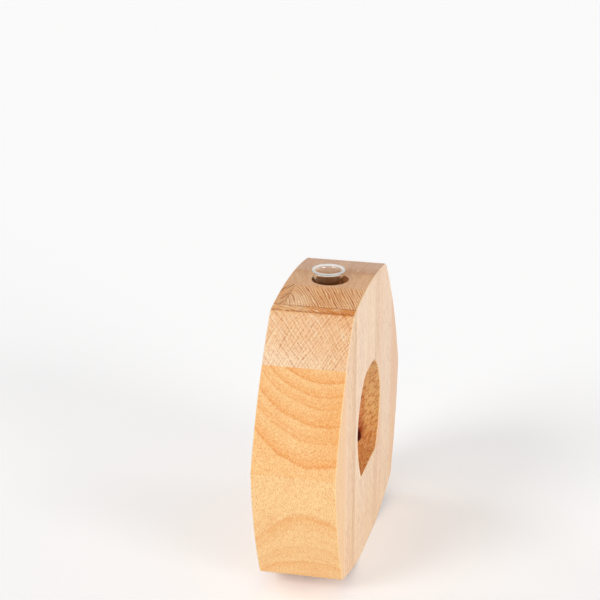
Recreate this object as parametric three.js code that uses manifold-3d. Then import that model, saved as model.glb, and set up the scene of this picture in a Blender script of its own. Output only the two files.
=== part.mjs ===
// A block vase: upright boards glued face to face, sawn to a six-sided outline with bowed
// sides, pierced by a window and drilled from above for a loose glass test tube.
//
// Millimetres. X is the thickness of the block, Y runs across the boards and Z is up.
// The origin is the centre of the flat base.

import * as THREE from 'three';
import { mergeVertices } from 'three/addons/utils/BufferGeometryUtils.js';
import Module from 'manifold-3d';

const wasm = await Module();
wasm.setup();

// Block: boards side by side along Y, planed to one thickness along X
const boardThickness = 25;
const blockThickness = 45;
const lathWidth = 6.5;
const edgeRound = 0.8;

// Outline of the block, each corner by its distance from the centre plane and its height
const baseHalf = 22;
const footCornerHalf = 68.5;
const footCornerHeight = 10;
const widestHeight = 75.5;
const topCornerHalf = 43.5;
const topCornerHeight = 149.5;

// Radius of each bowed stretch of the outline
const footRadius = 225;
const lowerSideRadius = 163;
const upperSideRadius = 204;
const crownRadius = 254;

// Window through the block along X
const windowFloorHalf = 20.3;
const windowFloorHeight = 47.7;
const windowWidestHalf = 32.2;
const windowWidestHeight = 77;
const windowTopHalf = 13.3;
const windowTopHeight = 103.6;
const windowLowerRadius = 48.5;
const windowUpperRadius = 33.5;
const windowCrownRadius = 86;

// Glass test tube
const tubeDiameter = 16;
const tubeLength = 150;
const tubeWall = 1.2;
const lipDiameter = 18;

// Seat of the tube: wood left under the bore, play round the glass, and where it stands in it
const woodUnderBore = 8.5;
const borePlay = 2;
const tubeSeatGap = 0.3;
const tubeLean = -1;

// Fineness of the faceted curves
const outlineStep = 4;
const windowStep = 2.5;
const roundSteps = 3;
const boreSides = 72;
const tubeSides = 48;
const bowlSteps = 10;
const beadSteps = 12;

// Colours
const beechPale = 0xe9c79c;
const beechWarm = 0xeab676;
const glassTint = 0xe8f2ef;

// Boards from front to back, each with the pieces it is made of. One board has a narrow lath
// glued to its left edge, and the window leaves the centre board in two lengths.
const lathSeam = lathWidth - blockThickness / 2;
const windowMiddle = (windowFloorHeight + windowTopHeight) / 2;
const boards = [
  [{ name: 'stave_front_outer', color: beechWarm }],
  [{ name: 'stave_front_middle', color: beechPale }],
  [
    { name: 'stave_front_inner', color: beechPale, fromX: lathSeam },
    { name: 'stave_front_inner_lath', color: beechWarm, toX: lathSeam },
  ],
  [
    { name: 'stave_centre_lower', color: beechPale, toZ: windowMiddle },
    { name: 'stave_centre_upper', color: beechPale, fromZ: windowMiddle },
  ],
  [{ name: 'stave_back_inner', color: beechPale }],
  [{ name: 'stave_back_middle', color: beechPale }],
  [{ name: 'stave_back_outer', color: beechWarm }],
];

// Places worked out from the sizes above
const blockWidth = boards.length * boardThickness;
const boreRadius = tubeDiameter / 2 + borePlay;
const tubeBottomHeight = woodUnderBore + tubeSeatGap;
const beyond = blockWidth + topCornerHeight;

// Points from one corner up to, but without, the next. A radius bows the stretch to the
// right of the way it runs, and no radius keeps it straight.
function stretch(from, to, radius, step) {
  if (!radius) {
    return [from];
  }
  const chord = from.distanceTo(to);
  const along = to.clone().sub(from).normalize();
  const inward = new THREE.Vector2(-along.y, along.x);
  const depth = Math.sqrt(radius ** 2 - chord ** 2 / 4);
  const centre = from.clone().lerp(to, 0.5).addScaledVector(inward, depth);
  const startAngle = from.clone().sub(centre).angle();
  const sweep = 2 * Math.asin(chord / 2 / radius);
  const steps = Math.ceil((radius * sweep) / step);
  const points = [from];
  for (let i = 1; i < steps; i += 1) {
    const angle = startAngle + (sweep * i) / steps;
    points.push(new THREE.Vector2(Math.cos(angle), Math.sin(angle)).multiplyScalar(radius).add(centre));
  }
  return points;
}

// Closed outline through corners, each given as half width, height and the radius of the
// stretch that climbs from it. It is the same on both sides of the centre plane.
function mirroredOutline(corners, step) {
  const right = corners.map(([half, height]) => new THREE.Vector2(half, height));
  const left = corners.map(([half, height]) => new THREE.Vector2(-half, height));
  const radii = corners.map((corner) => corner[2]);
  const last = corners.length - 1;
  const points = [];
  for (let i = 0; i < last; i += 1) {
    points.push(...stretch(right[i], right[i + 1], radii[i], step));
  }
  points.push(...stretch(right[last], left[last], radii[last], step));
  for (let i = last; i > 0; i -= 1) {
    points.push(...stretch(left[i], left[i - 1], radii[i - 1], step));
  }
  points.push(left[0]);
  return points;
}

// One mesh with shared corners and no collapsed triangles
function weld(geometry) {
  const bare = geometry.clone();
  bare.deleteAttribute('normal');
  bare.deleteAttribute('uv');
  const merged = mergeVertices(bare);
  const corners = merged.index.array;
  const kept = [];
  for (let i = 0; i < corners.length; i += 3) {
    const [a, b, c] = corners.slice(i, i + 3);
    if (a !== b && b !== c && c !== a) {
      kept.push(a, b, c);
    }
  }
  merged.setIndex(kept);
  return merged;
}

function toSolid(geometry) {
  const merged = weld(geometry);
  return new wasm.Manifold(new wasm.Mesh({
    numProp: 3,
    vertProperties: new Float32Array(merged.attributes.position.array),
    triVerts: new Uint32Array(merged.index.array),
  }));
}

function toGeometry(solid) {
  const { vertProperties, triVerts } = solid.getMesh();
  const geometry = new THREE.BufferGeometry();
  geometry.setAttribute('position', new THREE.BufferAttribute(vertProperties, 3));
  geometry.setIndex(new THREE.BufferAttribute(triVerts, 1));
  geometry.computeVertexNormals();
  return geometry;
}

// Box around a piece, open to well past the block on each side that has no limit
function slab({ fromX = -beyond, toX = beyond, fromY, toY, fromZ = -beyond, toZ = beyond }) {
  const box = new THREE.BoxGeometry(toX - fromX, toY - fromY, toZ - fromZ);
  box.translate((fromX + toX) / 2, (fromY + toY) / 2, (fromZ + toZ) / 2);
  return toSolid(box);
}

// The glued block: outline and window in one profile, with its edges rounded over
function shapedBlock() {
  const blockOutline = mirroredOutline([
    [baseHalf, 0, footRadius],
    [footCornerHalf, footCornerHeight, lowerSideRadius],
    [blockWidth / 2, widestHeight, upperSideRadius],
    [topCornerHalf, topCornerHeight, crownRadius],
  ], outlineStep);
  const windowOutline = mirroredOutline([
    [windowFloorHalf, windowFloorHeight, windowLowerRadius],
    [windowWidestHalf, windowWidestHeight, windowUpperRadius],
    [windowTopHalf, windowTopHeight, windowCrownRadius],
  ], windowStep);
  const profile = new THREE.Shape(blockOutline);
  profile.holes.push(new THREE.Path(windowOutline));
  const block = new THREE.ExtrudeGeometry(profile, {
    depth: blockThickness - 2 * edgeRound,
    bevelThickness: edgeRound,
    bevelSize: edgeRound,
    bevelOffset: -edgeRound,
    bevelSegments: roundSteps,
  });
  block.translate(0, 0, edgeRound - blockThickness / 2);
  // The profile's own x, y and z become the block's Y, Z and X
  const turn = new THREE.Matrix4().makeBasis(
    new THREE.Vector3(0, 1, 0), new THREE.Vector3(0, 0, 1), new THREE.Vector3(1, 0, 0),
  );
  block.applyMatrix4(turn);
  return toSolid(block);
}

// Hole drilled from above, through the window's roof and on into its floor
function tubeBore() {
  const height = beyond - woodUnderBore;
  const bore = new THREE.CylinderGeometry(boreRadius, boreRadius, height, boreSides);
  bore.rotateX(Math.PI / 2);
  bore.translate(0, 0, woodUnderBore + height / 2);
  return toSolid(bore);
}

// Test tube: round bottom, even wall and a rolled bead for a lip, turned about its axis
function testTube() {
  const outer = tubeDiameter / 2;
  const inner = outer - tubeWall;
  const bead = (lipDiameter / 2 - inner) / 2;
  const beadCentre = inner + bead;
  const beadStart = -Math.acos((outer - beadCentre) / bead);
  const profile = [];
  for (let i = 0; i <= bowlSteps; i += 1) {
    const angle = ((Math.PI / 2) * i) / bowlSteps;
    profile.push(new THREE.Vector2(outer * Math.sin(angle), outer - outer * Math.cos(angle)));
  }
  for (let i = 0; i <= beadSteps; i += 1) {
    const angle = beadStart + ((Math.PI - beadStart) * i) / beadSteps;
    const height = tubeLength - bead + bead * Math.sin(angle);
    profile.push(new THREE.Vector2(beadCentre + bead * Math.cos(angle), height));
  }
  for (let i = bowlSteps; i >= 0; i -= 1) {
    const angle = ((Math.PI / 2) * i) / bowlSteps;
    profile.push(new THREE.Vector2(inner * Math.sin(angle), outer - inner * Math.cos(angle)));
  }
  const tube = new THREE.LatheGeometry(profile, tubeSides);
  tube.rotateX(Math.PI / 2);
  return toGeometry(toSolid(tube));
}

function part(name, geometry, look) {
  const mesh = new THREE.Mesh(geometry, new THREE.MeshStandardMaterial(look));
  mesh.name = name;
  return mesh;
}

// Each piece keeps its share of the block between the glue planes on both sides of it
function glueUp() {
  const block = shapedBlock().subtract(tubeBore());
  const last = boards.length - 1;
  const meshes = [];
  boards.forEach((pieces, i) => {
    const fromY = i === 0 ? -beyond : i * boardThickness - blockWidth / 2;
    const toY = i === last ? beyond : (i + 1) * boardThickness - blockWidth / 2;
    for (const { name, color, ...limits } of pieces) {
      const solid = block.intersect(slab({ fromY, toY, ...limits }));
      meshes.push(part(name, toGeometry(solid), { color, roughness: 0.6, metalness: 0 }));
    }
  });
  return meshes;
}

const vase = new THREE.Group();
vase.add(...glueUp());

const tube = part('glass_tube', testTube(), {
  color: glassTint, roughness: 0.05, metalness: 0, transparent: true, opacity: 0.35,
});
tube.position.set(tubeLean, 0, tubeBottomHeight);
vase.add(tube);

export default vase;
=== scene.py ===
"""A block vase of glued beech boards with a loose glass tube, dressed and lit. Metres, +Z up."""

import math

import bpy
from mathutils import Matrix, Vector


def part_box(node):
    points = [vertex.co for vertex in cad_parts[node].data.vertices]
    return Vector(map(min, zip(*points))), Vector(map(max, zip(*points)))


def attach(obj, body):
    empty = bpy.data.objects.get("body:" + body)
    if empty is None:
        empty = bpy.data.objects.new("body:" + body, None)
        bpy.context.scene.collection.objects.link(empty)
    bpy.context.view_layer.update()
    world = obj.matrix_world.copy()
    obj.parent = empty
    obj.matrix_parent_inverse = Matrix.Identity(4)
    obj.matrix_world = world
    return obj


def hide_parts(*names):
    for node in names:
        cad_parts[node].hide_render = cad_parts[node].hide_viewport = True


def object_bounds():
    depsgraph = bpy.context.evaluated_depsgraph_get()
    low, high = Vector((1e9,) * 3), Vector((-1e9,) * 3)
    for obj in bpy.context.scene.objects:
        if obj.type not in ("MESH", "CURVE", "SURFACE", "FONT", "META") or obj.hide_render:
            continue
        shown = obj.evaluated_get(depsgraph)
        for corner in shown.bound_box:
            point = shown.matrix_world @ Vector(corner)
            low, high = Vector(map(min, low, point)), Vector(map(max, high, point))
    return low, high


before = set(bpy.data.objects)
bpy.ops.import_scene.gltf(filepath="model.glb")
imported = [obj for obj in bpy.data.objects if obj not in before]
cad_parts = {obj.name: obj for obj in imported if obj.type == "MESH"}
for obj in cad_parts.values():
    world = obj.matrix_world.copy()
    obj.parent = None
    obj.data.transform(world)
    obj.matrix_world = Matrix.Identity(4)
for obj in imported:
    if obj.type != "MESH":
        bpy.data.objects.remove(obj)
cad_low, cad_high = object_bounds()

MM = 0.001

# Outline of the block: half width, height and bow radius of the stretch that climbs from it
BLOCK_CORNERS = [
    (22 * MM, 0, 225 * MM),
    (68.5 * MM, 10 * MM, 163 * MM),
    (87.5 * MM, 75.5 * MM, 204 * MM),
    (43.5 * MM, 149.5 * MM, 254 * MM),
]
WINDOW_CORNERS = [
    (20.3 * MM, 47.7 * MM, 48.5 * MM),
    (32.2 * MM, 77 * MM, 33.5 * MM),
    (13.3 * MM, 103.6 * MM, 86 * MM),
]
EDGE_ROUND = 0.8 * MM
RIDGE_ROUND = 2 * MM
TOP_RIDGE_ROUND = 7 * MM

# Bore and tube
BORE_RADIUS = 10 * MM
BORE_FLOOR = 8.5 * MM
MOUTH_ROUND = 0.5 * MM
MOUTH_SWEEP = math.radians(80)
DRILL_OVERRUN = 3 * MM
TUBE_RADIUS = 8 * MM
TUBE_WALL = 1.2 * MM
LIP_RADIUS = 9 * MM
RIM_FLARE = 1.6 * MM

# Fineness of the curves, and of the smooth shading
CURVE_STEP = 0.8 * MM
EDGE_STEPS = 6
MOUTH_STEPS = 5
BORE_SIDES = 144
TUBE_SIDES = 128
BOWL_STEPS = 24
RIM_STEPS = 24
FLARE_STEPS = 10
SHARP_OVER = math.radians(30)

# Points nearer than this to one another, or to a glue plane, are left out
TWIN_GAP = 0.02 * MM
PLANE_GAP = 0.05 * MM

# A length under this counts as none
TINY = 1e-7

# Boards from front to back, each with the lengths it is made of, the lower one first
BOARDS = [
    ["stave_front_outer"],
    ["stave_front_middle"],
    ["stave_front_inner", "stave_front_inner_lath"],
    ["stave_centre_lower", "stave_centre_upper"],
    ["stave_back_inner"],
    ["stave_back_middle"],
    ["stave_back_outer"],
]


# Outline


def bow_centre(start, end, radius):
    """Centre of the bow from start to end that bulges to the right of the way."""
    chord = end - start
    along = chord.normalized()
    inward = Vector((-along.y, along.x))
    depth = math.sqrt(radius**2 - chord.length_squared / 4)
    return (start + end) / 2 + inward * depth


def arc(start, end, radius):
    """Points from start up to, but without, end, bowed to the right of the way."""
    if not radius:
        return [start]
    centre = bow_centre(start, end, radius)
    sweep = 2 * math.asin((end - start).length / 2 / radius)
    spoke = start - centre
    first = math.atan2(spoke.y, spoke.x)
    steps = math.ceil(radius * sweep / CURVE_STEP)
    points = []
    for i in range(steps):
        angle = first + sweep * i / steps
        points.append(centre + radius * Vector((math.cos(angle), math.sin(angle))))
    return points


def eased(points, corners):
    """The closed line with sharp corners rounded over. Corners gives the radius at each."""
    made = []
    count = len(points)
    reaches = {}
    margin = CURVE_STEP / 4
    for i, radius in corners.items():
        way_in = (points[i] - points[i - 1]).normalized()
        way_out = (points[(i + 1) % count] - points[i]).normalized()
        reach = radius * math.tan(abs(way_in.angle_signed(way_out)) / 2)
        reaches[i] = (reach, way_in, way_out)
    for i, here in enumerate(points):
        if i not in corners:
            if all((here - points[k]).length > spot[0] + margin for k, spot in reaches.items()):
                made.append(here)
            continue
        reach, way_in, way_out = reaches[i]
        start = here - way_in * reach
        end = here + way_out * reach
        steps = 4 + math.ceil(2 * reach / CURVE_STEP)
        for k in range(steps + 1):
            t = k / steps
            low = start.lerp(here, t)
            high = here.lerp(end, t)
            made.append(low.lerp(high, t))
    return made


def mirrored_outline(corners, top_round):
    """Closed line through the corners, the same on both sides of the middle, anticlockwise.
    The two corners at the top are rounded by top_round and the rest by RIDGE_ROUND."""
    right = [Vector((half, height)) for half, height, _ in corners]
    left = [Vector((-half, height)) for half, height, _ in corners]
    stops = right + left[::-1]
    radii = [radius for _, _, radius in corners]
    bows = radii + radii[-2::-1] + [0]
    points = []
    sharp = {}
    tops = (len(right) - 1, len(right))
    for i, stop in enumerate(stops):
        sharp[len(points)] = top_round if i in tops else RIDGE_ROUND
        points += arc(stop, stops[(i + 1) % len(stops)], bows[i])
    return eased(points, sharp)


def with_inset_ways(points):
    """Each point with the way it goes when the line is set one unit in, to the left."""
    count = len(points)
    made = []
    for i, here in enumerate(points):
        before = (here - points[i - 1]).normalized()
        after = (points[(i + 1) % count] - here).normalized()
        n1 = Vector((-before.y, before.x))
        n2 = Vector((-after.y, after.x))
        made.append((here, (n1 + n2) / (1 + n1.dot(n2))))
    return made


def cut_at(loop, planes):
    """Runs of the closed line between the glue planes, each from plane to plane."""
    cut = []
    marks = []
    count = len(loop)
    for i in range(count):
        here, way = loop[i]
        there, _ = loop[(i + 1) % count]
        cut.append((here, way))
        between = [p for p in planes if min(here.x, there.x) < p <= max(here.x, there.x)]
        for plane in sorted(between, reverse=there.x < here.x):
            share = (plane - here.x) / (there.x - here.x)
            point = here.lerp(there, share)
            point.x = plane
            along = (there - here).normalized()
            marks.append(len(cut))
            cut.append((point, Vector((0, 1 / along.x))))
    runs = []
    for k, first in enumerate(marks):
        last = marks[(k + 1) % len(marks)]
        if last > first:
            runs.append(cut[first:last + 1])
        else:
            runs.append(cut[first:] + cut[:last + 1])
    return [drop_twins(run) for run in runs]


def drop_twins(run):
    """The run without points that lie on the one before them."""
    kept = [run[0]]
    last = run[-1][0]
    for point, way in run[1:-1]:
        if min((point - kept[-1][0]).length, (point - last).length) > TWIN_GAP:
            kept.append((point, way))
    kept.append(run[-1])
    return kept


def kept_inside(run, left, right):
    """The run without points that would pass a glue plane when the edges are rounded over."""
    kept = [run[0]]
    for point, way in run[1:-1]:
        set_in = point + way * EDGE_ROUND
        if left + PLANE_GAP < set_in.x < right - PLANE_GAP:
            kept.append((point, way))
    kept.append(run[-1])
    return kept


def closed_shapes(runs, left, right):
    """Closed shapes of one board: its runs joined up along the glue planes on both sides."""
    own = []
    for run in runs:
        middle = sum(point.x for point, _ in run) / len(run)
        if left < middle < right:
            own.append(kept_inside(run, left, right))
    shapes = []
    while own:
        shape = own.pop(0)
        while True:
            end = shape[-1][0]
            up = abs(end.x - right) < abs(end.x - left)
            starts = [run for run in own + [shape] if abs(run[0][0].x - end.x) < TINY]
            ahead = [run for run in starts if (run[0][0].y > end.y) == up]
            follower = min(ahead, key=lambda run: abs(run[0][0].y - end.y))
            if follower is shape:
                break
            own = [run for run in own if run is not follower]
            shape = shape + follower
        shapes.append(shape)
    return shapes


# Meshes


def new_object(name, vertices, faces):
    """A new mesh object in the scene."""
    mesh = bpy.data.meshes.new(name)
    mesh.from_pydata([tuple(v) for v in vertices], [], faces)
    mesh.validate()
    mesh.update()
    made = bpy.data.objects.new(name, mesh)
    bpy.context.scene.collection.objects.link(made)
    return made


def smooth(obj):
    """Smooth shading that keeps flats flat and leaves sharp edges sharp."""
    mesh = obj.data
    mesh.shade_smooth()
    mesh.set_sharp_from_angle(angle=SHARP_OVER)
    weigh = obj.modifiers.new("even_flats", "WEIGHTED_NORMAL")
    weigh.keep_sharp = True


def rounded_end(face, towards):
    """Slices of a rounded edge that ends at the face: place along X and how far it is set in."""
    slices = []
    for i in range(EDGE_STEPS + 1):
        angle = math.pi / 2 * i / EDGE_STEPS
        slices.append((
            face - towards * EDGE_ROUND * (1 - math.sin(angle)),
            EDGE_ROUND * (1 - math.cos(angle)),
        ))
    return slices


def stave(name, shape, low_x, high_x, round_low, round_high):
    """A board: its closed shape drawn out along X, rounded where an end is a face of the block."""
    slices = rounded_end(low_x, -1)[::-1] if round_low else [(low_x, 0)]
    slices += rounded_end(high_x, 1) if round_high else [(high_x, 0)]
    count = len(shape)
    vertices = []
    for x, inset in slices:
        for point, way in shape:
            spot = point + way * inset
            vertices.append((x, spot.x, spot.y))
    faces = []
    for k in range(len(slices) - 1):
        for i in range(count):
            j = (i + 1) % count
            faces.append((k * count + i, k * count + j, (k + 1) * count + j, (k + 1) * count + i))
    last = (len(slices) - 1) * count
    faces.append(tuple(range(count))[::-1])
    faces.append(tuple(last + i for i in range(count)))
    return new_object(name, vertices, faces)


def turned(name, profile, sides, centre, height_of=None):
    """A closed form turned about an upright axis, from a profile that starts and ends on it.
    Where height_of is given, it makes the height out of Y and what the profile holds for it."""
    vertices = []
    faces = []
    rings = []
    for radius, height in profile:
        ring = []
        for i in range(1 if radius < TINY else sides):
            angle = 2 * math.pi * i / sides
            x = centre.x + radius * math.cos(angle)
            y = centre.y + radius * math.sin(angle)
            z = height_of(y, height) if height_of else height
            ring.append(len(vertices))
            vertices.append((x, y, z))
        rings.append(ring)
    for low, high in zip(rings, rings[1:]):
        for i in range(sides):
            j = (i + 1) % sides
            a, b = low[i % len(low)], low[j % len(low)]
            c, d = high[j % len(high)], high[i % len(high)]
            face = [a, b, c, d]
            kept = [v for k, v in enumerate(face) if v != face[k - 1]]
            if len(kept) > 2:
                faces.append(kept)
    return new_object(name, vertices, faces)


def arch_height(corner, y):
    """Height of the arched stretch between a corner and its mirror, at y."""
    half, height, radius = corner
    return height + math.sqrt(radius**2 - y**2) - math.sqrt(radius**2 - half**2)


def bore_cutter(floor_of, roof_of, blind):
    """What the drill takes out of one length, between the heights of its floor and its roof at
    each Y. An open mouth is eased and follows the wood, and a blind bore ends flat."""
    low_end = []
    high_end = []
    for i in range(MOUTH_STEPS + 1):
        angle = MOUTH_SWEEP * i / MOUTH_STEPS
        radius = BORE_RADIUS + MOUTH_ROUND * (1 - math.cos(angle))
        depth = MOUTH_ROUND * (1 - math.sin(angle))
        low_end.append((radius, (floor_of, depth)))
        high_end.append((radius, (roof_of, -depth)))
    wide = high_end[-1][0]
    if blind:
        profile = [(0, (floor_of, 0)), (BORE_RADIUS, (floor_of, 0))]
    else:
        profile = [(0, (floor_of, -DRILL_OVERRUN)), (wide, (floor_of, -DRILL_OVERRUN))]
        profile += low_end[::-1]
    profile += high_end + [(wide, (roof_of, DRILL_OVERRUN)), (0, (roof_of, DRILL_OVERRUN))]

    def height_of(y, spot):
        wood_height, rise = spot
        return wood_height(y) + rise

    return turned("drill", profile, BORE_SIDES, Vector((0, 0)), height_of)


def cut_out(obj, cutter):
    """Takes the cutter's form out of the object and removes the cutter."""
    cut = obj.modifiers.new("cut", "BOOLEAN")
    cut.operation = "DIFFERENCE"
    cut.solver = "EXACT"
    cut.object = cutter
    bpy.context.view_layer.update()
    evaluated = obj.evaluated_get(bpy.context.evaluated_depsgraph_get())
    mesh = bpy.data.meshes.new_from_object(evaluated)
    mesh.name = obj.name
    obj.modifiers.clear()
    obj.data = mesh
    bpy.data.objects.remove(cutter)


# Node helpers


def linear(red, green, blue):
    """A colour given as on a screen, 0 to 255, as the linear colour that a shader takes."""
    made = []
    for value in (red, green, blue):
        c = value / 255
        made.append(c / 12.92 if c <= 0.04045 else ((c + 0.055) / 1.055) ** 2.4)
    return (*made, 1)


class Graph:
    """Wires the nodes of one material or world with short calls."""

    def __init__(self, owner):
        owner.use_nodes = True
        self.nodes = owner.node_tree.nodes
        self.links = owner.node_tree.links
        self.nodes.clear()

    def node(self, kind, inputs=None, **settings):
        made = self.nodes.new(kind)
        for name, value in settings.items():
            setattr(made, name, value)
        for key, value in (inputs or {}).items():
            self.feed(made.inputs[key], value)
        return made

    def feed(self, socket, value):
        if isinstance(value, bpy.types.NodeSocket):
            self.links.new(value, socket)
        else:
            socket.default_value = value

    def math(self, operation, *values):
        return self.node("ShaderNodeMath", dict(enumerate(values)), operation=operation).outputs[0]

    def product(self, *values):
        made = values[0]
        for value in values[1:]:
            made = self.math("MULTIPLY", made, value)
        return made

    def vector_node(self, operation, *values):
        return self.node("ShaderNodeVectorMath", dict(enumerate(values)), operation=operation)

    def vector(self, operation, *values):
        return self.vector_node(operation, *values).outputs[0]

    def length(self, value):
        return self.vector_node("LENGTH", value).outputs["Value"]

    def split(self, value):
        made = self.node("ShaderNodeSeparateXYZ", {0: value})
        return made.outputs[0], made.outputs[1], made.outputs[2]

    def join(self, x, y, z):
        return self.node("ShaderNodeCombineXYZ", {0: x, 1: y, 2: z}).outputs[0]

    def turned_to(self, place, *ways):
        """The place measured along three ways of its own. The length of each is its scale."""
        along = [self.vector_node("DOT_PRODUCT", place, way).outputs["Value"] for way in ways]
        return self.join(*along)

    def step(self, value, low, high, start=0.0, end=1.0, change="SMOOTHSTEP"):
        """A smooth change from start to end as the value goes from low to high."""
        inputs = {"Value": value, "From Min": low, "From Max": high, "To Min": start, "To Max": end}
        return self.node("ShaderNodeMapRange", inputs, interpolation_type=change).outputs[0]

    def scale(self, value, low, high, start=0.0, end=1.0):
        """A straight change from start to end as the value goes from low to high."""
        return self.step(value, low, high, start, end, "LINEAR")

    def ramp(self, value, stops):
        """Colour that passes through the stops, each a value and a colour as on a screen."""
        low = stops[0][0]
        reach = stops[-1][0] - low
        made = self.node("ShaderNodeValToRGB", {0: self.scale(value, low, low + reach)})
        elements = made.color_ramp.elements
        elements[0].color = linear(*stops[0][1:])
        elements[1].color = linear(*stops[-1][1:])
        for at, *colour in stops[1:-1]:
            elements.new((at - low) / reach).color = linear(*colour)
        return made.outputs[0]

    def noise(self, place, fineness=None, detail=2.0, roughness=0.5):
        """Soft random values round 0.5. Fineness scales the place along each axis."""
        if fineness:
            place = self.vector("MULTIPLY", place, fineness)
        inputs = {"Vector": place, "Scale": 1.0, "Detail": detail, "Roughness": roughness}
        return self.node("ShaderNodeTexNoise", inputs).outputs[0]

    def chance(self, number):
        """A random value from 0 to 1, always the same for the same number."""
        return self.node("ShaderNodeTexWhiteNoise", {"W": number}, noise_dimensions="1D").outputs[0]

    def mix(self, share, a, b, blend="MIX"):
        made = self.node("ShaderNodeMix", {0: share, 6: a, 7: b}, data_type="RGBA", blend_type=blend)
        return made.outputs[2]


# Beech. Places and sizes in its material are in millimetres

# How far a face has turned towards X or Z where a look begins and where it is full
SIDE_FACE = (0.35, 0.9)
END_FACE = (0.68, 0.9)
CROWN_FACE = (0.8, 0.95)
# Painted light on faces turned down, as if lit from the floor: where it begins and is full
PAINTED_UNDERSIDE_LIGHT = (-0.06, 0.02)
BORE_FACE = (0.7, 0.3)
# Painted highlight on rounded edges, by how far their normal turns towards X
EDGE_HIGHLIGHT_FROM = (0.12, 0.45)
EDGE_HIGHLIGHT_TO = (0.98, 0.8)

# Where on the block a look begins and where it is full
WINDOW_MIDDLE = 75
INSIDE_WINDOW = (52, 44)
YELLOWED = (70, 10)
BOLDER_LINES = (80, 30)
# Painted highlight along the window's near edge on the side faces: where it begins and is full
WINDOW_HIGHLIGHT_BAND = (3.6, 0.8)
WINDOW_HIGHLIGHT_IN_FRONT = (-14, -20)
WINDOW_HIGHLIGHT_ABOVE = (48, 50)
WINDOW_HIGHLIGHT_BELOW = (102, 84)
# Painted shade on the bore's wall: how far off the axis it begins and where it is full
BORE_SHADE_FROM_AXIS = (10.7, 10.2)

# Fineness of each texture along X, Y and Z
WANDER = (0.045, 0.045, 0.02)
MOTTLE = (0.11, 0.11, 0.016)
FIBRE = (1.6, 1.6, 0.035)
SPECK = (1.7, 1.7, 0.7)
LONG_LINES = (0.45, 0.6, 0.014)

# The ways along which the saw's strokes in the window and the streaks on the crown are laid.
# The longer a way is, the finer the marks are along it
SAW_WAYS = ((1.6, 0, -1.15), (0.24, 0, 0.24), (0, 0.36, 0))
STREAK_SLANT = math.radians(27)
STREAK_WAYS = (
    (1.5 * math.sin(STREAK_SLANT), 1.5 * math.cos(STREAK_SLANT), 0),
    (0.13 * math.cos(STREAK_SLANT), -0.13 * math.sin(STREAK_SLANT), 0),
    (0, 0, 0),
)

DASH_WIDTH = 0.7
DARK_DASH_LENGTH = 2.6
PALE_DASH_LENGTH = 2.8
RELIEF_DEPTH = 0.06 * MM


class Surface:
    """A point on a board: its place, how far out from the pith and round it, and its kind of face."""

    def __init__(self, g, look):
        coordinates = g.node("ShaderNodeTexCoord")
        self.place = g.vector("MULTIPLY", coordinates.outputs["Object"], (1000, 1000, 1000))
        self.x, self.y, self.z = g.split(self.place)
        self.out, self.round = growth(g, self.place, look)
        across, _, self.up = g.split(coordinates.outputs["Normal"])
        self.across = g.math("ABSOLUTE", across)
        self.upward = g.math("ABSOLUTE", self.up)
        self.side = g.step(self.across, *SIDE_FACE)
        self.cut = g.math("SUBTRACT", 1, self.side)
        above_middle = g.math("SUBTRACT", self.z, WINDOW_MIDDLE)
        self.from_window = g.length(g.join(self.y, above_middle, 0))
        self.in_window = g.product(g.step(self.from_window, *INSIDE_WINDOW), self.cut)


def growth(g, place, look):
    """Distance from the pith and way round it for a point in the board."""
    x, y, z = g.split(place)
    grain = look["grain"]
    rise = g.math("SUBTRACT", z, grain["from_height"])
    pith_x = g.math("MULTIPLY_ADD", rise, grain["lean"][0], grain["pith"][0])
    pith_y = g.math("MULTIPLY_ADD", rise, grain["lean"][1], grain["pith"][1])
    pith_y = g.math("MULTIPLY_ADD", g.math("MULTIPLY", rise, rise), grain["bend"], pith_y)
    dx = g.math("SUBTRACT", x, pith_x)
    dy = g.math("SUBTRACT", y, pith_y)
    wander = g.scale(g.noise(place, WANDER, detail=1), 0.25, 0.75, -grain["wander"], grain["wander"])
    out = g.math("ADD", g.length(g.join(dx, dy, 0)), wander)
    middle_x, middle_y = look["middle"]
    to_pith = (middle_x - grain["pith"][0], middle_y - grain["pith"][1])
    ahead = math.hypot(*to_pith)
    forward = (to_pith[0] / ahead, to_pith[1] / ahead)
    along = g.math("ADD", g.math("MULTIPLY", dx, forward[0]), g.math("MULTIPLY", dy, forward[1]))
    aside = g.math("SUBTRACT", g.math("MULTIPLY", dy, forward[0]), g.math("MULTIPLY", dx, forward[1]))
    return out, g.math("MULTIPLY", g.math("ARCTAN2", aside, along), ahead)


def listed_rings(g, at, grain):
    """Late wood and end lines of rings that are given one by one, fainter low on the board."""
    late_shape = 1.3
    fall_width = 0.5
    line_width = 0.55
    fade_height = 20
    faded = 0.45
    band = 0.0
    edge = 0.0
    for radius, width, strength in grain["rings"]:
        rise = g.math("POWER", g.scale(at.out, radius - width, radius), late_shape)
        fall = g.step(at.out, radius, radius + fall_width, strength, 0)
        band = g.math("MULTIPLY_ADD", rise, fall, band)
        off = g.math("ABSOLUTE", g.math("SUBTRACT", at.out, radius))
        edge = g.math("ADD", edge, g.step(off, 0, line_width, strength, 0))
    clear_from = grain["faded_below"]
    fade = g.step(at.z, clear_from - fade_height, clear_from, faded, 1)
    return g.product(band, fade), g.product(edge, fade)


def even_rings(g, at, grain):
    """Late wood and end lines of rings of one width, each of its own strength."""
    count = g.math("DIVIDE", at.out, grain["spacing"])
    share = g.math("FRACT", count)
    strength = g.scale(g.chance(g.math("FLOOR", count)), 0, 1, 0.3, 1)
    ending = g.step(share, 0.92, 1, 1, 0)
    late = g.math("POWER", share, grain["late"])
    return g.product(late, ending, strength), g.product(g.step(share, 0.8, 0.9), ending, strength)


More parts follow.
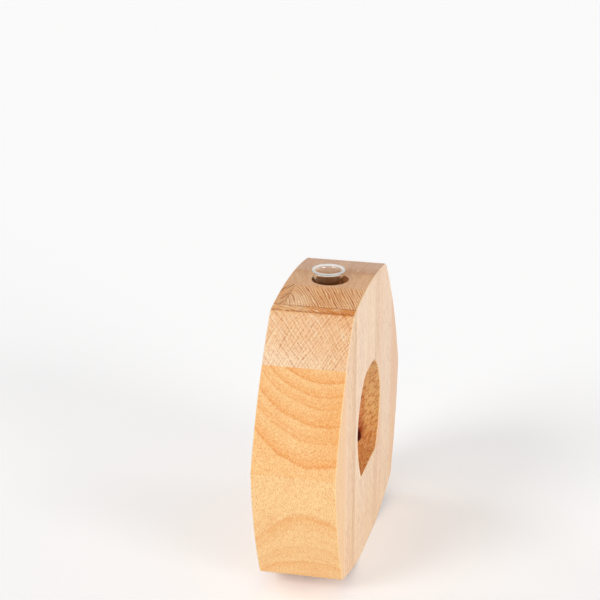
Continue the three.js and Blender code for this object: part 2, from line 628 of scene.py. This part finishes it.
def hairlines(g, over, along, pitch, width, breaks, least, offset):
    """Thin lines a pitch apart, each of its own strength, that waver and fade in places to least,
    and the gaps between them."""
    slow = g.join(g.math("MULTIPLY", over, 0.35), g.math("MULTIPLY", along, 0.06), offset)
    waver = g.scale(g.noise(slow, detail=1), 0.25, 0.75, offset - 0.5, offset + 0.5)
    count = g.math("MULTIPLY_ADD", over, 1 / pitch, waver)
    number = g.math("FLOOR", count)
    away = g.math("ABSOLUTE", g.math("SUBTRACT", g.math("FRACT", count), 0.5))
    gap_place = g.join(g.math("MULTIPLY", number, 3.7), g.math("MULTIPLY", along, breaks), offset)
    unbroken = g.step(g.noise(gap_place, detail=2), 0.36, 0.58, least, 1)
    strength = g.product(g.scale(g.chance(number), 0, 1, 0.5, 1), unbroken)
    line = g.step(away, 0, width / pitch, 1, 0)
    gap = g.step(away, 0.26, 0.5)
    return g.product(line, strength), g.product(gap, strength)


def from_window_edge(g, y, z):
    """Distance from the bowed sides of the window, more than 0 in the wood."""
    across = g.math("ABSOLUTE", y)
    away = -1000.0
    for low, high in zip(WINDOW_CORNERS, WINDOW_CORNERS[1:]):
        start = Vector(low[:2]) / MM
        end = Vector(high[:2]) / MM
        radius = low[2] / MM
        centre = bow_centre(start, end, radius)
        dy = g.math("SUBTRACT", across, centre.x)
        dz = g.math("SUBTRACT", z, centre.y)
        from_bow = g.math("SUBTRACT", g.length(g.join(dy, dz, 0)), radius)
        away = g.math("MAXIMUM", away, from_bow)
    return away


def dashes(g, at, length, offset):
    """Short upright dashes where rays and vessels come out of the wood, one to a cell."""
    spot = g.join(
        g.math("MULTIPLY_ADD", at.out, 0.14, offset),
        g.math("DIVIDE", at.round, DASH_WIDTH),
        g.math("DIVIDE", at.z, length),
    )
    cells = g.node("ShaderNodeTexVoronoi", {"Vector": spot, "Scale": 1.0, "Randomness": 1.0})
    dash = g.step(cells.outputs["Distance"], 0.08, 0.5, 1, 0)
    chance = g.split(cells.outputs["Color"])[0]
    return g.product(dash, g.step(chance, 0.0, 0.6))


def plain_wood(g, at, tint):
    """Colour of each kind of face without its marks. Faces turned down are painted lighter, as if
    lit from the floor below, and the window's wall carries painted shade that deepens towards
    its floor. The more a face is cut across the fibres, the darker and warmer the oil leaves it."""
    # Painted light: faces turned down take the lighter underside colour, as if lit from the floor
    colour = g.mix(g.step(at.up, *PAINTED_UNDERSIDE_LIGHT), tint["under"], tint["face"])
    colour = g.mix(g.step(at.upward, *END_FACE), colour, tint["end"])
    # Painted shade: the window's wall darkens towards the window's floor
    colour = g.mix(at.in_window, colour, g.ramp(at.z, tint["window"]))
    yellowed = g.step(at.z, *YELLOWED, 0, tint["yellowing"])
    side = g.mix(yellowed, g.ramp(at.y, tint["side"]), tint["side_low"])
    return g.mix(at.side, colour, side)


def spread(g, at, patches, colour, faces):
    """The colour with soft round patches on the given share of the faces."""
    for spot in patches:
        offset = g.vector("SUBTRACT", at.place, spot["at"])
        away = g.length(g.vector("DIVIDE", offset, spot["reach"]))
        share = g.step(away, spot["core"], 1, spot["strength"], 0)
        colour = g.mix(g.product(share, faces), colour, spot["tint"])
    return colour


def drawn(g, at, strengths, colour, marks):
    """The colour with marks over it, each its kind, its share and the colour that it goes to."""
    for kind, share, towards in marks:
        amount = g.scale(at.side, 0, 1, *strengths[kind])
        colour = g.mix(g.product(share, amount), colour, towards)
    return colour


def grown_marks(g, at, look, fibre, speck):
    """Marks that grow in the wood: rings, fibres, and rays with what crosses them."""
    grain = look["grain"]
    ring = look["tint"]["ring"]
    dark = look["tint"]["dark"]
    pale = look["tint"]["pale"]
    rings = listed_rings if "rings" in grain else even_rings
    band, edge = rings(g, at, grain)
    broken = g.step(speck, 0.36, 0.6, 0.3, 1)
    mottle = g.noise(at.place, MOTTLE)
    ring_place = g.join(g.math("MULTIPLY", at.out, 1.1), g.math("MULTIPLY", at.round, 0.05), 0)
    fine_rings = g.noise(ring_place, detail=2)
    long_lines = g.noise(at.place, LONG_LINES, detail=4, roughness=0.75)
    bolder = g.step(at.z, *BOLDER_LINES, 0.8, 1.5)
    fan_place = g.join(
        g.math("DIVIDE", at.round, 1.1 * grain["ray_pitch"]),
        g.math("DIVIDE", at.out, grain["ray_reach"]),
        g.math("DIVIDE", at.z, grain["ray_reach"]),
    )
    fan = g.noise(fan_place, detail=3, roughness=0.6)
    width = grain["line_width"]
    dark_line = (width, grain["breaks"], grain["least"])
    dark_rays, ray_gaps = hairlines(g, at.round, at.out, grain["ray_pitch"], *dark_line, 11.3)
    crossings, crossing_gaps = hairlines(g, at.out, at.round, grain["ring_pitch"], *dark_line, 7.1)
    pale_rays, _ = hairlines(g, at.round, at.out, grain["pale_pitch"], width, 0.2, 0.1, 3.7)
    pale_crossings, _ = hairlines(g, at.out, at.round, 2 * grain["ring_pitch"], width, 0.4, 0.1, 5.3)
    return [
        ("mottle", g.scale(mottle, 0.3, 0.7), dark),
        ("bands", band, ring),
        ("edges", g.product(edge, broken), dark),
        ("fine_rings", g.scale(fine_rings, 0.5, 0.7), ring),
        ("fibre", g.scale(fibre, 0.52, 0.78), dark),
        ("fibre", g.scale(fibre, 0.48, 0.22), pale),
        ("long_lines", g.product(g.scale(long_lines, 0.52, 0.76), bolder), dark),
        ("long_lines", g.product(g.scale(long_lines, 0.5, 0.28), bolder), pale),
        ("fan_dark", g.step(fan, 0.5, 0.34), dark),
        ("fan_pale", g.step(fan, 0.5, 0.66), pale),
        ("dark_rays", dark_rays, dark),
        ("ray_gaps", ray_gaps, pale),
        ("pale_rays", pale_rays, pale),
        ("crossings", crossings, dark),
        ("crossing_gaps", crossing_gaps, pale),
        ("pale_crossings", pale_crossings, pale),
    ]


def sawn_marks(g, at, look, shaded_window_wall, speck, dark_dash):
    """Marks that the saw and the plane leave or lay bare: strokes in the window, streaks on the
    crown, and the ends of rays and vessels."""
    dark = look["tint"]["dark"]
    pale = look["tint"]["pale"]
    # Saw strokes: the stroke colour times the window's wall with its painted shade
    stroke = g.mix(1, shaded_window_wall, look["tint"]["stroke"], "MULTIPLY")
    strokes = g.noise(g.turned_to(at.place, *SAW_WAYS), detail=2, roughness=0.7)
    streaks = g.noise(g.turned_to(at.place, *STREAK_WAYS), detail=3, roughness=0.6)
    flecks = g.noise(at.place, look["grain"]["fleck"], detail=3, roughness=0.75)
    crown = g.step(at.upward, *CROWN_FACE)
    return [
        ("strokes", g.product(at.in_window, g.scale(strokes, 0.52, 0.6)), stroke),
        ("strokes", g.product(at.in_window, g.scale(strokes, 0.46, 0.36, 0, 0.4)), pale),
        ("streaks", g.product(crown, g.scale(streaks, 0.5, 0.68)), dark),
        ("streaks", g.product(crown, g.scale(streaks, 0.46, 0.3)), pale),
        ("dark_dashes", dark_dash, dark),
        ("pale_dashes", dashes(g, at, PALE_DASH_LENGTH, 31.7), pale),
        ("specks", g.scale(speck, 0.5, 0.72), dark),
        ("flecks", g.scale(flecks, 0.52, 0.68), dark),
        ("flecks", g.scale(flecks, 0.48, 0.32), pale),
    ]


def along_edges(g, at, look, colour):
    """The colour with painted highlights on the rounded edges and on the window's rim, and with
    dark lines at the seams and painted shade along a ridge.
    """
    # Painted highlight: rounded edges painted pale, less so inside the window
    rounded = g.product(
        g.step(at.across, *EDGE_HIGHLIGHT_FROM),
        g.step(at.across, *EDGE_HIGHLIGHT_TO),
        g.scale(at.from_window, *INSIDE_WINDOW, 0.4, 0.65),
    )
    colour = g.mix(rounded, colour, look["tint"]["pale"])
    uneven = g.noise(g.join(g.math("MULTIPLY", at.x, 0.35), 0, 0), detail=3)
    patchy = g.step(uneven, 0.36, 0.58, 0.35, 1)
    # Dark lines from the look: dark seams, and painted shade along a ridge
    for seam in look["lines"]:
        place = {"x": at.x, "y": at.y}[seam["axis"]]
        away = g.math("ABSOLUTE", g.math("SUBTRACT", place, seam["at"]))
        share = g.product(g.step(away, 0, seam["width"], seam["strength"], 0), at.cut, patchy)
        colour = g.mix(share, colour, seam["tint"])
    # Painted highlight along the window's near edge, on the side faces
    rim = g.product(
        g.step(from_window_edge(g, at.y, at.z), *WINDOW_HIGHLIGHT_BAND),
        g.step(at.y, *WINDOW_HIGHLIGHT_IN_FRONT),
        at.side,
        g.step(at.z, *WINDOW_HIGHLIGHT_ABOVE),
        g.step(at.z, *WINDOW_HIGHLIGHT_BELOW),
        0.8,
    )
    return g.mix(rim, colour, look["tint"]["rim"])


def beech(name, look):
    """Oiled beech, solid right through: rings, rays and fibres about the board's own pith."""
    material = bpy.data.materials.new(name)
    g = Graph(material)
    at = Surface(g, look)
    tint = look["tint"]
    strengths = look["marks"]
    fibre = g.noise(at.place, FIBRE, detail=3, roughness=0.6)
    speck = g.noise(at.place, SPECK, detail=3, roughness=0.75)
    dark_dash = dashes(g, at, DARK_DASH_LENGTH, 0.0)
    # The window's wall with its painted shade, darkest near the window's floor
    shaded_window_wall = spread(g, at, look["patches"], g.ramp(at.z, tint["window"]), at.cut)

    colour = plain_wood(g, at, tint)
    colour = spread(g, at, look["patches"], colour, at.cut)
    colour = spread(g, at, look["stains"], colour, at.side)
    colour = drawn(g, at, strengths, colour, grown_marks(g, at, look, fibre, speck))
    # Inside the window, mostly the wall colour with its painted shade
    colour = g.mix(g.product(at.in_window, 0.9), colour, shaded_window_wall)
    colour = drawn(g, at, strengths, colour, sawn_marks(g, at, look, shaded_window_wall, speck, dark_dash))
    colour = along_edges(g, at, look, colour)
    colour = spread(g, at, look["knots"], colour, at.cut)
    roughness = g.scale(fibre, 0.3, 0.7, 0.5, 0.62)
    if look["bored"]:
        # Painted shade down the bore's wall, which is also made fully rough
        from_axis = g.length(g.join(at.x, at.y, 0))
        bore_shade = g.product(g.step(from_axis, *BORE_SHADE_FROM_AXIS), g.step(at.upward, *BORE_FACE))
        colour = g.mix(g.product(bore_shade, 0.9), colour, tint["bore"])
        roughness = g.math("MAXIMUM", roughness, bore_shade)

    relief = g.math("MULTIPLY_ADD", dark_dash, -0.5, g.math("MULTIPLY", fibre, 0.6))
    relief = g.math("MULTIPLY_ADD", speck, 0.5, relief)
    bump = g.node("ShaderNodeBump", {"Strength": 0.25, "Distance": RELIEF_DEPTH, "Height": relief})
    shader = g.node("ShaderNodeBsdfPrincipled", {
        "Base Color": colour,
        "Roughness": roughness,
        "Normal": bump.outputs[0],
    })
    shader.inputs["Specular IOR Level"].default_value = 0.22
    g.node("ShaderNodeOutputMaterial", {"Surface": shader.outputs[0]})
    return material


def clear_glass(rim_top):
    """Clear glass, with the rounded rim ground a little white."""
    ground_from = rim_top - 1.1 * MM
    ground_above = rim_top - 0.5 * MM
    material = bpy.data.materials.new("tube_glass")
    g = Graph(material)
    height = g.split(g.node("ShaderNodeTexCoord").outputs["Object"])[2]
    ground = g.step(height, ground_from, ground_above)
    shader = g.node("ShaderNodeBsdfPrincipled", {
        "Base Color": (0.97, 0.99, 0.98, 1),
        "Roughness": g.product(ground, 0.4),
        "IOR": 1.47,
        "Transmission Weight": g.scale(ground, 0, 1, 1, 0.4),
    })
    g.node("ShaderNodeOutputMaterial", {"Surface": shader.outputs[0]})
    return material


# How each board looks: colours as in plain light, except where painted light or shade is noted,
# its grain, and how strong each mark is on the cut faces and on the side faces

GRAIN = {
    "pith": (20, -120),
    "lean": (0, 0),
    "bend": 0,
    "from_height": 75,
    "wander": 1.2,
    "spacing": 3.1,
    "late": 4,
    "fleck": (1.4, 1.4, 0.28),
    "line_width": 0.42,
    "breaks": 0.8,
    "least": 0.1,
    "ray_pitch": 1.6,
    "pale_pitch": 3.7,
    "ring_pitch": 1.4,
    "ray_reach": 20,
}
TINT = {
    "side": ((-88, 240, 212, 184), (88, 240, 212, 184)),
    "face": linear(240, 196, 152),
    # Painted light: the colour of faces turned down is lighter, as if lit from the floor
    "under": linear(247, 202, 152),
    "end": linear(222, 172, 126),
    "side_low": linear(240, 196, 148),
    "yellowing": 0.3,
    # The window's wall from its floor up: its colour with painted shade, darkest near the floor
    "window": (
        (46, 236, 164, 92),
        (54, 246, 178, 103),
        (66, 255, 202, 126),
        (84, 255, 207, 140),
        (104, 255, 214, 156),
    ),
    "stroke": linear(208, 140, 116),
    # Painted highlight along the window's near edge
    "rim": linear(255, 240, 218),
    # Painted shade on the bore's wall
    "bore": linear(160, 84, 22),
    "ring": linear(238, 164, 92),
    "dark": linear(168, 98, 46),
    "pale": linear(255, 226, 186),
}
MARKS = {
    "mottle": (0.06, 0.02),
    "bands": (0.3, 0.18),
    "edges": (0.12, 0.1),
    "fine_rings": (0.0, 0.1),
    "fibre": (0.08, 0.2),
    "long_lines": (0.0, 0.3),
    "fan_dark": (0.14, 0.0),
    "fan_pale": (0.14, 0.0),
    "dark_rays": (0.2, 0.0),
    "ray_gaps": (0.0, 0.0),
    "pale_rays": (0.25, 0.0),
    "crossings": (0.2, 0.0),
    "crossing_gaps": (0.0, 0.0),
    "pale_crossings": (0.0, 0.0),
    "dark_dashes": (0.14, 0.04),
    "pale_dashes": (0.12, 0.04),
    "specks": (0.16, 0.04),
    "flecks": (0.0, 0.48),
    "strokes": (0.85, 0.0),
    "streaks": (0.0, 0.0),
}


def board(
    middle, grain=None, tint=None, marks=None, patches=(), stains=(), knots=(), lines=(), bored=False,
):
    """Look of one board about its middle in X and Y: what differs from the looks above, and its
    own spots. Patches and knots lie on the cut faces, stains on the side faces."""
    return {
        "middle": middle,
        "grain": {**GRAIN, **(grain or {})},
        "tint": {**TINT, **(tint or {})},
        "marks": {**MARKS, **(marks or {})},
        "patches": patches,
        "stains": stains,
        "knots": knots,
        "lines": lines,
        "bored": bored,
    }


def patch(at, reach, strength, tint, core=0):
    """A soft round spot that reaches so far along each axis and is full within its core."""
    return {"at": at, "reach": reach, "strength": strength, "tint": linear(*tint), "core": core}


def line(axis, at, width, strength, tint):
    """A fine line round the cut faces, where the axis has one value."""
    return {"axis": axis, "at": at, "width": width, "strength": strength, "tint": linear(*tint)}


# The two outermost boards are sawn along the fibres and show rings, with no fan of rays
ALONG_FIBRES = {
    "mottle": (0.08, 0.02),
    "bands": (0.9, 0.18),
    "edges": (0.4, 0.1),
    "fine_rings": (0.35, 0.1),
    "fibre": (0.14, 0.2),
    "fan_dark": (0.0, 0.0),
    "fan_pale": (0.0, 0.0),
    "dark_rays": (0.0, 0.0),
    "pale_rays": (0.0, 0.0),
    "crossings": (0.0, 0.0),
    "dark_dashes": (0.2, 0.04),
    "pale_dashes": (0.2, 0.04),
    "specks": (0.1, 0.04),
    "flecks": (0.85, 0.48),
    "strokes": (0.0, 0.0),
}

LOOKS = {
    "stave_front_outer": board(
        middle=(0, -75),
        grain={
            "pith": (8.2, -5.0),
            "lean": (0.07, -0.0335),
            "bend": 0.000346,
            "from_height": 60,
            "wander": 0.6,
            "faded_below": 75,
            "fleck": (2.6, 2.6, 0.8),
            "rings": (
                (79.9, 3.2, 0.9),
                (75.0, 1.6, 0.5),
                (73.9, 1.0, 0.3),
                (71.4, 3.0, 0.9),
                (67.4, 1.6, 0.5),
                (66.2, 1.2, 0.3),
                (64.4, 2.4, 0.8),
                (60.6, 3.6, 0.9),
            ),
        },
        tint={
            "side": (
                (-88, 245, 209, 166),
                (-67, 242, 206, 167),
                (-62.5, 247, 215, 185),
            ),
            "face": linear(248, 198, 135),
            # Painted light on faces turned down, as if lit from the floor
            "under": linear(252, 211, 152),
            "end": linear(240, 184, 124),
            "ring": linear(240, 160, 82),
            "pale": linear(255, 226, 170),
            "dark": linear(216, 122, 44),
        },
        marks=ALONG_FIBRES,
        patches=(
            patch((-30, -66, 118), (32, 20, 26), 0.5, (252, 206, 150)),
            patch((26, -76, 102), (30, 24, 38), 0.6, (240, 166, 84)),
        ),
    ),
    "stave_front_middle": board(
        middle=(0, -50),
        grain={
            "pith": (83, -122), "late": 9, "spacing": 2.4,
            "pale_pitch": 3.8, "ring_pitch": 1.35, "ray_reach": 30,
            "line_width": 0.36, "breaks": 1.3, "least": 0.0,
        },
        tint={
            "side": (
                (-62.5, 247, 215, 185),
                (-58, 238, 207, 176),
                (-50, 238, 205, 172),
                (-43, 229, 196, 161),
                (-38.5, 225, 191, 157),
                (-37.5, 244, 214, 184),
            ),
            "face": linear(245, 200, 153),
            "end": linear(242, 186, 122),
            "pale": linear(255, 234, 198),
            "dark": linear(184, 96, 36),
        },
        marks={
            "mottle": (0.04, 0.02),
            "bands": (0.04, 0.05),
            "edges": (0.0, 0.03),
            "fan_dark": (0.05, 0.0),
            "fan_pale": (0.1, 0.0),
            "dark_rays": (0.58, 0.0),
            "pale_rays": (0.78, 0.0),
            "crossings": (0.66, 0.0),
            "pale_crossings": (0.5, 0.0),
            "specks": (0.42, 0.04),
            "streaks": (0.85, 0.0),
        },
        patches=(
            patch((-16, -62, 126), (44, 14, 20), 0.9, (253, 224, 186)),
            patch((20, -46, 147), (18, 8, 10), 0.6, (238, 180, 124)),
            patch((18, -39, 151), (28, 7, 6), 0.9, (226, 138, 38), core=0.5),
        ),
        lines=(
            line("y", -37.6, 0.9, 0.9, (150, 76, 22)),
            # Painted shade along the ridge between the crown's strip and the facet
            line("y", -43.0, 1.0, 0.7, (150, 66, 20)),
        ),
    ),
    "stave_front_inner": board(
        middle=(3, -25),
        grain={
            "pith": (-150, -100), "wander": 0.9,
            "line_width": 0.6, "breaks": 0.12, "least": 0.5, "ring_pitch": 1.35, "ray_pitch": 3.4,
        },
        tint={
            "side": (
                (-37.5, 246, 219, 192),
                (-34.5, 247, 220, 194),
                (-30, 241, 217, 192),
                (-24, 240, 215, 190),
                (-14, 243, 220, 197),
                (-12.5, 242, 218, 194),
            ),
            "end": linear(240, 188, 132),
            "pale": linear(255, 228, 178),
            "dark": linear(172, 70, 8),
        },
        marks={
            "fan_dark": (0.1, 0.0),
            "fan_pale": (0.2, 0.0),
            "dark_rays": (0.1, 0.0),
            "pale_rays": (0.15, 0.0),
            "crossings": (1.0, 0.0),
            "crossing_gaps": (0.8, 0.0),
            "pale_crossings": (0.2, 0.0),
            "specks": (0.5, 0.04),
        },
        patches=(
            patch((-12, -34, 151), (11, 13, 8), 0.8, (250, 214, 170), core=0.3),
            patch((6, -26, 152), (13, 18, 8), 0.7, (228, 158, 86), core=0.3),
        ),
    ),
    "stave_front_inner_lath": board(
        middle=(-19, -25),
        grain={
            "pith": (-57, -107), "line_width": 0.6, "breaks": 0.15, "least": 0.5,
            "ray_pitch": 1.3, "pale_pitch": 2.3, "ray_reach": 16,
        },
        tint={
            "end": linear(242, 172, 102),
            "pale": linear(255, 228, 186),
            "dark": linear(132, 52, 4),
        },
        marks={
            "fan_dark": (0.3, 0.0),
            "fan_pale": (0.4, 0.0),
            "dark_rays": (1.0, 0.0),
            "ray_gaps": (0.7, 0.0),
            "pale_rays": (0.4, 0.0),
            "crossings": (0.1, 0.0),
        },
        lines=(line("x", -16, 0.35, 0.5, (150, 88, 44)),),
    ),
    "stave_centre_lower": board(
        middle=(0, 0),
        tint={"side": ((-12.5, 240, 215, 188), (12.5, 240, 214, 187))},
        bored=True,
    ),
    "stave_centre_upper": board(
        middle=(0, 0),
        tint={
            "side": ((-12.5, 240, 215, 188), (12.5, 240, 214, 187)),
            "end": linear(228, 180, 138),
        },
        patches=(
            patch((0, 14, 153), (44, 15, 8), 0.7, (196, 138, 92)),
        ),
        bored=True,
    ),
    "stave_back_inner": board(
        middle=(0, 25),
        grain={"pith": (15, -110)},
        tint={
            "side": (
                (12.5, 231, 202, 174),
                (22, 231, 201, 173),
                (28, 238, 208, 182),
                (37.5, 238, 212, 187),
            ),
            "end": linear(214, 176, 148),
        },
        marks={"fan_dark": (0.12, 0.0), "fan_pale": (0.12, 0.0), "mottle": (0.12, 0.02)},
        patches=(
            patch((12, 12, 153), (26, 15, 8), 0.7, (192, 134, 90)),
            patch((10, 30, 68), (6, 12, 22), 0.7, (214, 124, 66), core=0.3),
            patch((11, 26, 57), (5, 8, 9), 0.7, (186, 92, 42), core=0.3),
        ),
        stains=(
            patch((22, 27, 61), (9, 11, 22), 0.6, (238, 178, 128), core=0.2),
        ),
        knots=(
            patch((11.4, 25, 54), (4.8, 7, 8), 0.55, (176, 80, 36), core=0.3),
            patch((11.4, 25, 53), (2.0, 6, 4.2), 1.0, (104, 26, 4), core=0.5),
            patch((11.2, 25, 51.8), (2.6, 6, 3.0), 1.0, (80, 14, 0), core=0.7),
        ),
    ),
    "stave_back_middle": board(
        middle=(0, 50),
        grain={"pith": (20, -90)},
        tint={
            "side": (
                (37.5, 239, 213, 188),
                (56, 239, 214, 190),
                (61, 237, 210, 186),
                (62.5, 232, 203, 176),
            ),
            "end": linear(212, 172, 146),
        },
        marks={"fan_dark": (0.15, 0.0), "fan_pale": (0.15, 0.0)},
    ),
    "stave_back_outer": board(
        middle=(0, 75),
        grain={
            "pith": (6, 12), "lean": (0.06, 0.12), "spacing": 4.2, "late": 2.5,
            "fleck": (2.6, 2.6, 0.8),
        },
        tint={
            "side": ((62.5, 228, 195, 167), (88, 224, 194, 169)),
            "face": linear(246, 194, 134),
            # Painted light on faces turned down, as if lit from the floor
            "under": linear(249, 202, 144),
            "ring": linear(240, 160, 84),
            "dark": linear(216, 130, 58),
        },
        marks=ALONG_FIBRES,
    ),
}


def block():
    """Every length of board, in place of its plain solid."""
    outer = with_inset_ways(mirrored_outline(BLOCK_CORNERS, TOP_RIDGE_ROUND))
    hole = with_inset_ways(mirrored_outline(WINDOW_CORNERS, RIDGE_ROUND)[::-1])
    planes = [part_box(group[0])[0].y for group in BOARDS[1:]]
    runs = cut_at(outer, planes) + cut_at(hole, planes)
    ends = [cad_low.y, *planes, cad_high.y]
    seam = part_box("stave_front_inner")[0].x
    for group, left, right in zip(BOARDS, ends, ends[1:]):
        shapes = closed_shapes(runs, left, right)
        shapes.sort(key=lambda shape: min(p.y for p, _ in shape))
        for k, node in enumerate(group):
            shape = shapes[min(k, len(shapes) - 1)]
            low, high = (corner.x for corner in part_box(node))
            piece = stave(
                node.replace("stave", "board"), shape, low, high,
                round_low=abs(low - seam) > MM, round_high=abs(high - seam) > MM,
            )
            finish_board(piece, node)


# Heights at each Y of the faces that the bore starts from and ends at


def bore_floor(y):
    return BORE_FLOOR


def window_floor(y):
    return WINDOW_CORNERS[0][1]


def window_roof(y):
    return arch_height(WINDOW_CORNERS[-1], y)


def crown(y):
    return arch_height(BLOCK_CORNERS[-1], y)


def finish_board(piece, node):
    """Bores the length where it is bored, and gives it its look and its place."""
    if node == "stave_centre_lower":
        cut_out(piece, bore_cutter(bore_floor, window_floor, blind=True))
    if node == "stave_centre_upper":
        cut_out(piece, bore_cutter(window_roof, crown, blind=False))
    smooth(piece)
    piece.data.materials.clear()
    piece.data.materials.append(beech(piece.name, LOOKS[node]))
    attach(piece, "block")
    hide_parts(node)


def round_stretch(centre, radius, start, end, steps):
    """Points of a profile, out from the axis and up, along part of a circle. Angles in radians."""
    points = []
    for i in range(steps + 1):
        angle = start + (end - start) * i / steps
        points.append((centre[0] + radius * math.cos(angle), centre[1] + radius * math.sin(angle)))
    return points


def glass_tube():
    """Round-bottomed test tube with a flared, ground rim, standing where its plain solid stands."""
    low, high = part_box("glass_tube")
    centre = (low + high) / 2
    inner = TUBE_RADIUS - TUBE_WALL
    rim = TUBE_WALL / 2
    rim_spot = (LIP_RADIUS - rim, high.z - rim)
    flare_out = TUBE_RADIUS + RIM_FLARE
    drop = math.sqrt((rim + RIM_FLARE) ** 2 - (flare_out - rim_spot[0]) ** 2)
    flare_spot = (flare_out, rim_spot[1] - drop)
    lean = math.atan2(drop, rim_spot[0] - flare_out)
    bowl_spot = (0, low.z + TUBE_RADIUS)
    # Extra rings near both ends keep the shading of the long walls straight
    margin = 0.4 * MM
    wall_ends = (bowl_spot[1] + margin, flare_spot[1] - margin)
    profile = round_stretch(bowl_spot, TUBE_RADIUS, -math.pi / 2, 0, BOWL_STEPS)
    profile += [(TUBE_RADIUS, height) for height in wall_ends]
    profile += round_stretch(flare_spot, RIM_FLARE, math.pi, lean, FLARE_STEPS)
    profile += round_stretch(rim_spot, rim, lean - math.pi, lean, RIM_STEPS)[1:]
    profile += round_stretch(flare_spot, RIM_FLARE + TUBE_WALL, lean, math.pi, FLARE_STEPS)[1:]
    profile += [(inner, height) for height in wall_ends[::-1]]
    profile += round_stretch(bowl_spot, inner, 0, -math.pi / 2, BOWL_STEPS)
    piece = turned("test_tube", profile, TUBE_SIDES, centre)
    piece.data.shade_smooth()
    piece.data.materials.append(clear_glass(high.z))
    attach(piece, "tube")
    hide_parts("glass_tube")


# Stage, lights and camera

WORLD_STRENGTH = 0.44
FLOOR_REACH = 6.0
FLOOR_COLOUR = (0.918, 0.912, 0.912, 1)
FLOOR_LIFT = 0.19

# Each lamp: how far round from the front and how high it stands and how wide it looks, all in
# degrees, and its light on a face turned to it
LAMPS = {
    "front_left": (-35, 32, 28, 0.35),
    "front_right": (55, 15, 28, 0.36),
    "back_left": (-110, 32, 28, 0.14),
    "back_right": (110, 16, 28, 0.16),
}

# Camera, in millimetres and degrees
CAMERA_PLACE = (212.89, -991.45, 505.55)
CAMERA_AZIMUTH = 13.035
CAMERA_ELEVATION = 19.773
CAMERA_ROLL = 0.106
LENS = 120
SENSOR_WIDTH = 36


def stage():
    """A pale floor and a white surround, which both look brighter than the light they give."""
    near, far = -FLOOR_REACH, FLOOR_REACH
    corners = [(near, near, 0), (far, near, 0), (far, far, 0), (near, far, 0)]
    floor = new_object("floor", corners, [(0, 1, 2, 3)])
    material = bpy.data.materials.new("floor_paint")
    g = Graph(material)
    seen = plain_sight(g)
    shader = g.node("ShaderNodeBsdfPrincipled", {
        "Base Color": FLOOR_COLOUR,
        "Roughness": 0.9,
        "Emission Color": (1, 1, 1, 1),
        "Emission Strength": g.math("MULTIPLY", seen, FLOOR_LIFT),
    })
    shader.inputs["Specular IOR Level"].default_value = 0
    g.node("ShaderNodeOutputMaterial", {"Surface": shader.outputs[0]})
    floor.data.materials.append(material)

    world = bpy.data.worlds.new("studio")
    bpy.context.scene.world = world
    g = Graph(world)
    strength = g.scale(plain_sight(g), 0, 1, WORLD_STRENGTH, 1.0)
    background = g.node("ShaderNodeBackground", {"Color": (1, 1, 1, 1), "Strength": strength})
    g.node("ShaderNodeOutputWorld", {"Surface": background.outputs[0]})


def plain_sight(g):
    """1 for what the camera sees directly, mirrored or through glass, and 0 for light that bounces."""
    path = g.node("ShaderNodeLightPath")
    seen = g.math("MAXIMUM", path.outputs["Is Camera Ray"], path.outputs["Is Glossy Ray"])
    return g.math("MAXIMUM", seen, path.outputs["Is Transmission Ray"])


def lamp(name, around, elevation, width, strength):
    """A far softbox."""
    turn = math.radians(around)
    rise = math.radians(elevation)
    towards = (math.sin(turn) * math.cos(rise), -math.cos(turn) * math.cos(rise), math.sin(rise))
    data = bpy.data.lights.new(name, "SUN")
    data.angle = math.radians(width)
    data.energy = strength * math.pi
    made = bpy.data.objects.new(name, data)
    bpy.context.scene.collection.objects.link(made)
    made.rotation_euler = Vector(towards).to_track_quat("Z", "Y").to_euler()


def camera():
    """The photograph's own point of view."""
    azimuth = math.radians(CAMERA_AZIMUTH)
    elevation = math.radians(CAMERA_ELEVATION)
    roll = math.radians(CAMERA_ROLL)
    place = Vector(CAMERA_PLACE) * MM
    ahead = Vector((
        -math.sin(azimuth) * math.cos(elevation),
        math.cos(azimuth) * math.cos(elevation),
        -math.sin(elevation),
    ))
    right = Vector((math.cos(azimuth), math.sin(azimuth), 0))
    up = right.cross(ahead)
    turned_right = right * math.cos(roll) + up * math.sin(roll)
    turned_up = up * math.cos(roll) - right * math.sin(roll)
    data = bpy.data.cameras.new("camera")
    data.lens = LENS
    data.sensor_width = SENSOR_WIDTH
    made = bpy.data.objects.new("camera", data)
    bpy.context.scene.collection.objects.link(made)
    axes = Matrix((turned_right, turned_up, -ahead)).transposed()
    made.matrix_world = Matrix.Translation(place) @ axes.to_4x4()
    bpy.context.scene.camera = made


block()
glass_tube()
stage()
for lamp_name, settings in LAMPS.items():
    lamp(lamp_name, *settings)
camera()
bpy.context.scene.view_settings.view_transform = "Standard"
